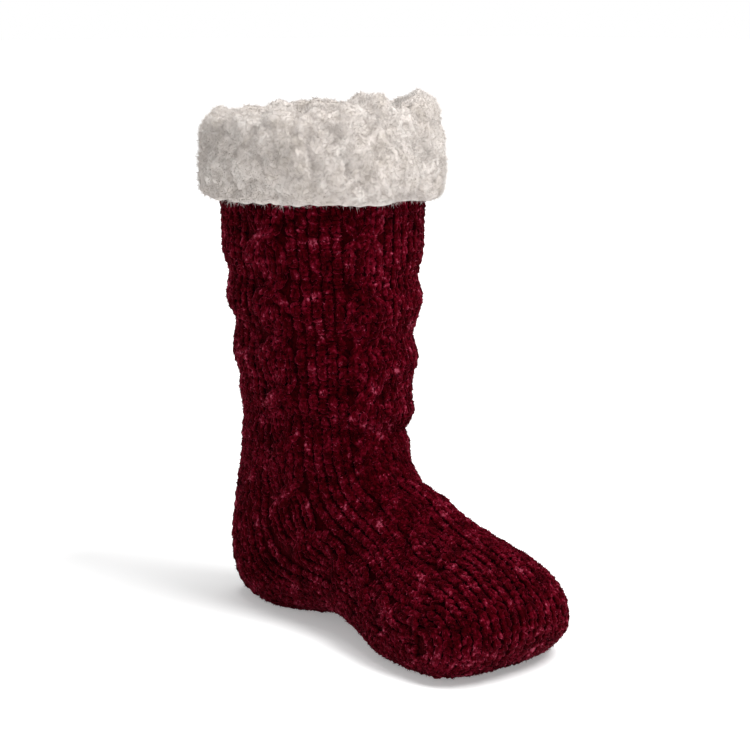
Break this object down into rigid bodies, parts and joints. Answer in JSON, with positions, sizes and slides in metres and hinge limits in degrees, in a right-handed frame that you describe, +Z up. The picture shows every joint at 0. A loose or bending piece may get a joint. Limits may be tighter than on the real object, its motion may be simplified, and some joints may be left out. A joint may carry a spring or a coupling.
{
  "type": "slipper sock",
  "caption": "Cable-knit chenille slipper sock in wine red with a cream fleece cuff turned out over its collar, left foot, standing flat on its sole.",
  "frame": {"origin": "on the floor under the heel, in the middle of the heel's flat spot", "axes": "+Z up, toe towards -Y, outer side of the left foot towards +X"},
  "size_m": [0.1453, 0.265, 0.3158],
  "materials": {
    "wine_chenille": "velvety chenille knit",
    "cream_fleece": "curly matt fleece"
  },
  "bodies": {
    "root": {"knit_upper": "wine_chenille", "sherpa_cuff": "cream_fleece"}
  },
  "joints": []
}
